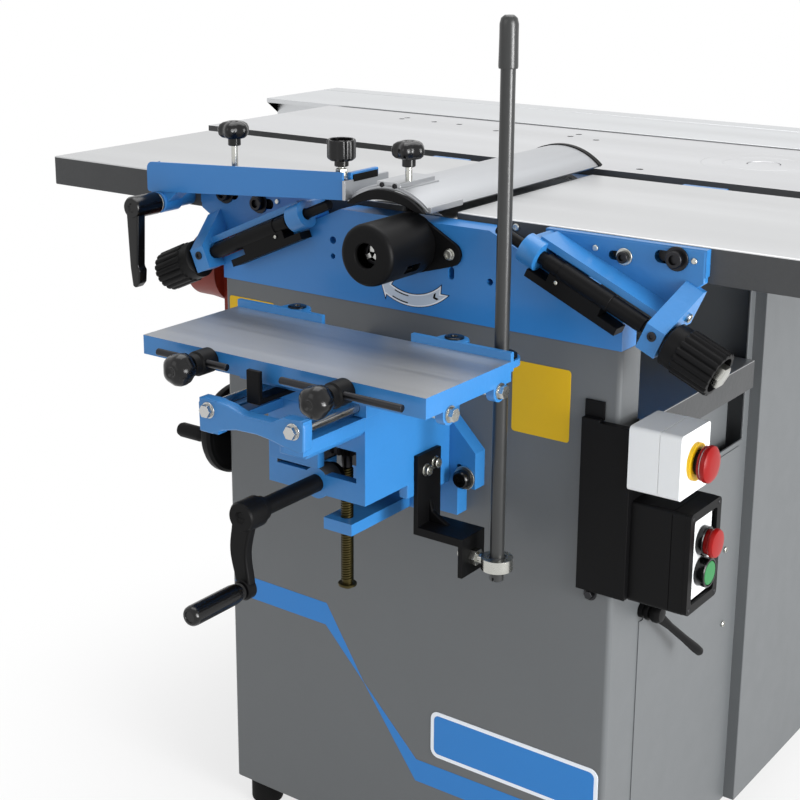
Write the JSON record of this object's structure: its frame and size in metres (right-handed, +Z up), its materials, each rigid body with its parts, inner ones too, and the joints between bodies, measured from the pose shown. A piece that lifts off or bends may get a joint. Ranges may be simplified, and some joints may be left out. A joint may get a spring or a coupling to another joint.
{
  "type": "combination woodworking machine",
  "caption": "Free-standing combination woodworking machine: planer and thicknesser with a slot mortiser on its front, and a saw, spindle moulder and sliding table behind.",
  "frame": {"origin": "on the floor under the middle of the machine's box", "axes": "+X to the operator's right along the planer tables, +Y from the operator into the machine, +Z up"},
  "size_m": [1.49, 1.3282, 1.111],
  "materials": {
    "grey_paint": "grey powder coat, satin",
    "blue_paint": "blue paint, satin",
    "black_paint": "black powder coat",
    "red_paint": "red-brown paint",
    "cast_iron": "ground face, dark cast sides",
    "dark_iron": "dark cast iron",
    "steel": "bright steel",
    "zinc": "zinc plate",
    "dark_steel": "blackened steel",
    "brass": "dark brass",
    "aluminium": "satin extrusion",
    "black_plastic": "black, satin",
    "gloss_black": "black, glossy",
    "white_plastic": "off-white",
    "red_plastic": "red",
    "green_plastic": "green",
    "rubber": "black rubber"
  },
  "bodies": {
    "base": {"planer_cabinet": "grey_paint", "saw_cabinet": "grey_paint", "machine_feet": "rubber", "planer_housing": "blue_paint", "rod_guides": "black_paint", "chuck_cover": "black_plastic", "saw_table": "cast_iron", "spindle_rings": "steel", "slide_rail": "aluminium", "mortiser_slideway": "blue_paint", "control_bracket": "black_paint", "estop_box": "white_plastic", "switch_box": "black_plastic", "planer_motor": "grey_paint"},
    "cutter": {"cutterblock": "steel", "planer_knives": "steel", "mortise_chuck": "dark_steel"},
    "infeed": {"infeed_table": "cast_iron", "infeed_bracket": "blue_paint"},
    "infeed_knob": {"infeed_adjuster": "black_plastic"},
    "outfeed": {"outfeed_table": "cast_iron", "outfeed_bracket": "blue_paint"},
    "outfeed_knob": {"outfeed_adjuster": "black_plastic"},
    "guard": {"guard_arm": "blue_paint"},
    "bridge": {"guard_beam": "aluminium", "guard_end_caps": "black_plastic"},
    "arm_star": {"arm_star_knob": "gloss_black"},
    "beam_star": {"beam_star_knob": "gloss_black"},
    "cup": {"cup_knob": "gloss_black"},
    "clamp": {"clamp_lever": "black_plastic"},
    "bed": {"thicknesser_bed": "dark_iron", "chip_hood": "red_paint"},
    "handwheel": {"bed_handwheel": "black_plastic"},
    "bed_lock": {"bed_lock_lever": "black_plastic"},
    "way_lock": {"slideway_lock": "black_plastic"},
    "knee": {"knee_casting": "blue_paint", "cross_rods": "zinc", "lever_bracket": "black_paint", "rod_end": "zinc"},
    "crank": {"lift_crank": "black_plastic"},
    "grip": {"crank_grip": "gloss_black"},
    "screw": {"lift_screw": "brass"},
    "carriage": {"cross_carriage": "blue_paint", "stop_bracket": "black_paint"},
    "mortiser": {"mortise_table": "blue_paint", "table_rods": "zinc"},
    "left_stop": {"left_stop_rod": "dark_steel"},
    "right_stop": {"right_stop_rod": "dark_steel"},
    "left_knob": {"left_stop_knob": "gloss_black"},
    "right_knob": {"right_stop_knob": "gloss_black"},
    "race": {"ball_race": "steel"},
    "lever": {"control_lever": "black_paint"},
    "estop": {"estop_button": "red_plastic"},
    "stop": {"stop_button": "red_plastic"},
    "start": {"start_button": "green_plastic"},
    "slider": {"sliding_table": "aluminium"},
    "saw": {"saw_unit": "dark_iron"},
    "blade": {"saw_blade": "steel"},
    "spindle": {"spindle_unit": "dark_iron"},
    "shaft": {"spindle_shaft": "steel"}
  },
  "joints": [
    {"name": "cutter_spin", "type": "hinge", "parent": "base", "child": "cutter", "pos_m": [0.1, -0.27385, 0.841], "axis": [0, 1, 0], "continuous": true},
    {"name": "infeed_slide", "type": "slide", "parent": "base", "child": "infeed", "axis": [-0.9135, 0, -0.4067], "range_m": [0, 0.008]},
    {"name": "infeed_knob_turn", "type": "hinge", "parent": "infeed", "child": "infeed_knob", "pos_m": [-0.126, -0.28885, 0.82398], "axis": [-0.9135, 0, -0.4067], "range_deg": [-1, 721]},
    {"name": "outfeed_slide", "type": "slide", "parent": "base", "child": "outfeed", "axis": [0.9135, 0, -0.4067], "range_m": [-0.003, 0.003]},
    {"name": "outfeed_knob_turn", "type": "hinge", "parent": "outfeed", "child": "outfeed_knob", "pos_m": [0.34, -0.28885, 0.82398], "axis": [0.9135, 0, -0.4067], "range_deg": [-271, 271]},
    {"name": "guard_tilt", "type": "hinge", "parent": "infeed", "child": "guard", "pos_m": [-0.285, -0.27385, 0.848], "axis": [0, -1, 0], "range_deg": [0, 25]},
    {"name": "guard_slide", "type": "slide", "parent": "guard", "child": "bridge", "axis": [0, 1, 0], "range_m": [-0.15, 0.02]},
    {"name": "arm_star_turn", "type": "hinge", "parent": "guard", "child": "arm_star", "pos_m": [-0.165, -0.28385, 0.876], "axis": [0, 0, 1], "range_deg": [-180, 180]},
    {"name": "beam_star_turn", "type": "hinge", "parent": "guard", "child": "beam_star", "pos_m": [0.0875, -0.26585, 0.876], "axis": [0, 0, 1], "range_deg": [-180, 180]},
    {"name": "cup_turn", "type": "hinge", "parent": "guard", "child": "cup", "pos_m": [0.003, -0.28385, 0.876], "axis": [0, 0, 1], "range_deg": [-180, 180]},
    {"name": "clamp_turn", "type": "hinge", "parent": "infeed", "child": "clamp", "pos_m": [-0.285, -0.27385, 0.848], "axis": [0, 1, 0], "range_deg": [-60, 60]},
    {"name": "handwheel_turn", "type": "hinge", "parent": "base", "child": "handwheel", "pos_m": [-0.195, -0.22885, 0.535], "axis": [1, 0, 0], "range_deg": [-2521, 1]},
    {"name": "bed_slide", "type": "slide", "parent": "base", "child": "bed", "axis": [0, 0, 1], "range_m": [-0.07, 0]},
    {"name": "bed_lock_turn", "type": "hinge", "parent": "base", "child": "bed_lock", "pos_m": [0.375, -0.19885, 0.428], "axis": [1, 0, 0], "range_deg": [-30, 25]},
    {"name": "way_lock_turn", "type": "hinge", "parent": "base", "child": "way_lock", "pos_m": [0.19, -0.27385, 0.577], "axis": [0, 1, 0], "range_deg": [-180, 180]},
    {"name": "knee_slide", "type": "slide", "parent": "base", "child": "knee", "axis": [0, 0, 1], "range_m": [-0.003, 0.033]},
    {"name": "crank_turn", "type": "hinge", "parent": "knee", "child": "crank", "pos_m": [0.1, -0.27385, 0.6], "axis": [0, 1, 0], "range_deg": [-181, 1981]},
    {"name": "grip_spin", "type": "hinge", "parent": "crank", "child": "grip", "pos_m": [0.1, -0.27385, 0.518], "axis": [0, 1, 0], "continuous": true},
    {"name": "screw_turn", "type": "hinge", "parent": "knee", "child": "screw", "pos_m": [0.1, -0.40085, 0.6], "axis": [0, 0, 1], "range_deg": [-181, 1981]},
    {"name": "carriage_slide", "type": "slide", "parent": "knee", "child": "carriage", "axis": [0, 1, 0], "range_m": [-0.07, 0.005]},
    {"name": "table_slide", "type": "slide", "parent": "carriage", "child": "mortiser", "axis": [1, 0, 0], "range_m": [-0.025, 0.025]},
    {"name": "left_stop_slide", "type": "slide", "parent": "mortiser", "child": "left_stop", "axis": [1, 0, 0], "range_m": [-0.03, 0]},
    {"name": "right_stop_slide", "type": "slide", "parent": "mortiser", "child": "right_stop", "axis": [1, 0, 0], "range_m": [0, 0.03]},
    {"name": "left_knob_turn", "type": "hinge", "parent": "mortiser", "child": "left_knob", "pos_m": [0.007, -0.52385, 0.742], "axis": [0, 1, 0], "range_deg": [-180, 180]},
    {"name": "right_knob_turn", "type": "hinge", "parent": "mortiser", "child": "right_knob", "pos_m": [0.193, -0.52385, 0.742], "axis": [0, 1, 0], "range_deg": [-180, 180]},
    {"name": "lever_cross", "type": "hinge", "parent": "knee", "child": "race", "pos_m": [0.267, -0.34385, 0.509], "axis": [1, 0, 0], "range_deg": [-1.28, 16.62]},
    {"name": "lever_side", "type": "hinge", "parent": "race", "child": "lever", "pos_m": [0.267, -0.34385, 0.509], "axis": [0, 1, 0], "range_deg": [-6.15, 6.15]},
    {"name": "estop_press", "type": "slide", "parent": "base", "child": "estop", "axis": [-1, 0, 0], "range_m": [0, 0.005], "stiffness_N_per_m": 400},
    {"name": "stop_press", "type": "slide", "parent": "base", "child": "stop", "axis": [-1, 0, 0], "range_m": [0, 0.004], "stiffness_N_per_m": 400},
    {"name": "start_press", "type": "slide", "parent": "base", "child": "start", "axis": [-1, 0, 0], "range_m": [0, 0.004], "stiffness_N_per_m": 400},
    {"name": "slider_travel", "type": "slide", "parent": "base", "child": "slider", "axis": [1, 0, 0], "range_m": [-0.4, 0.6]},
    {"name": "saw_lift", "type": "slide", "parent": "base", "child": "saw", "axis": [0, 0, 1], "range_m": [0, 0.07]},
    {"name": "blade_spin", "type": "hinge", "parent": "saw", "child": "blade", "pos_m": [-0.025, 0.44565, 0.746], "axis": [0, 1, 0], "continuous": true},
    {"name": "spindle_lift", "type": "slide", "parent": "base", "child": "spindle", "axis": [0, 0, 1], "range_m": [0, 0.085]},
    {"name": "spindle_spin", "type": "hinge", "parent": "spindle", "child": "shaft", "pos_m": [0.285, 0.29615, 0.876], "axis": [0, 0, 1], "continuous": true}
  ],
  "couplings": [
    {"joint": "infeed_knob_turn", "follows": "infeed_slide", "rad_per_m": 1570.8},
    {"joint": "outfeed_knob_turn", "follows": "outfeed_slide", "rad_per_m": 1570.8},
    {"joint": "handwheel_turn", "follows": "bed_slide", "rad_per_m": 628.32},
    {"joint": "crank_turn", "follows": "knee_slide", "rad_per_m": 1047.2},
    {"joint": "screw_turn", "follows": "knee_slide", "rad_per_m": 1047.2},
    {"joint": "lever_cross", "follows": "carriage_slide", "rad_per_m": -4.1192},
    {"joint": "lever_side", "follows": "table_slide", "rad_per_m": 4.2215}
  ]
}
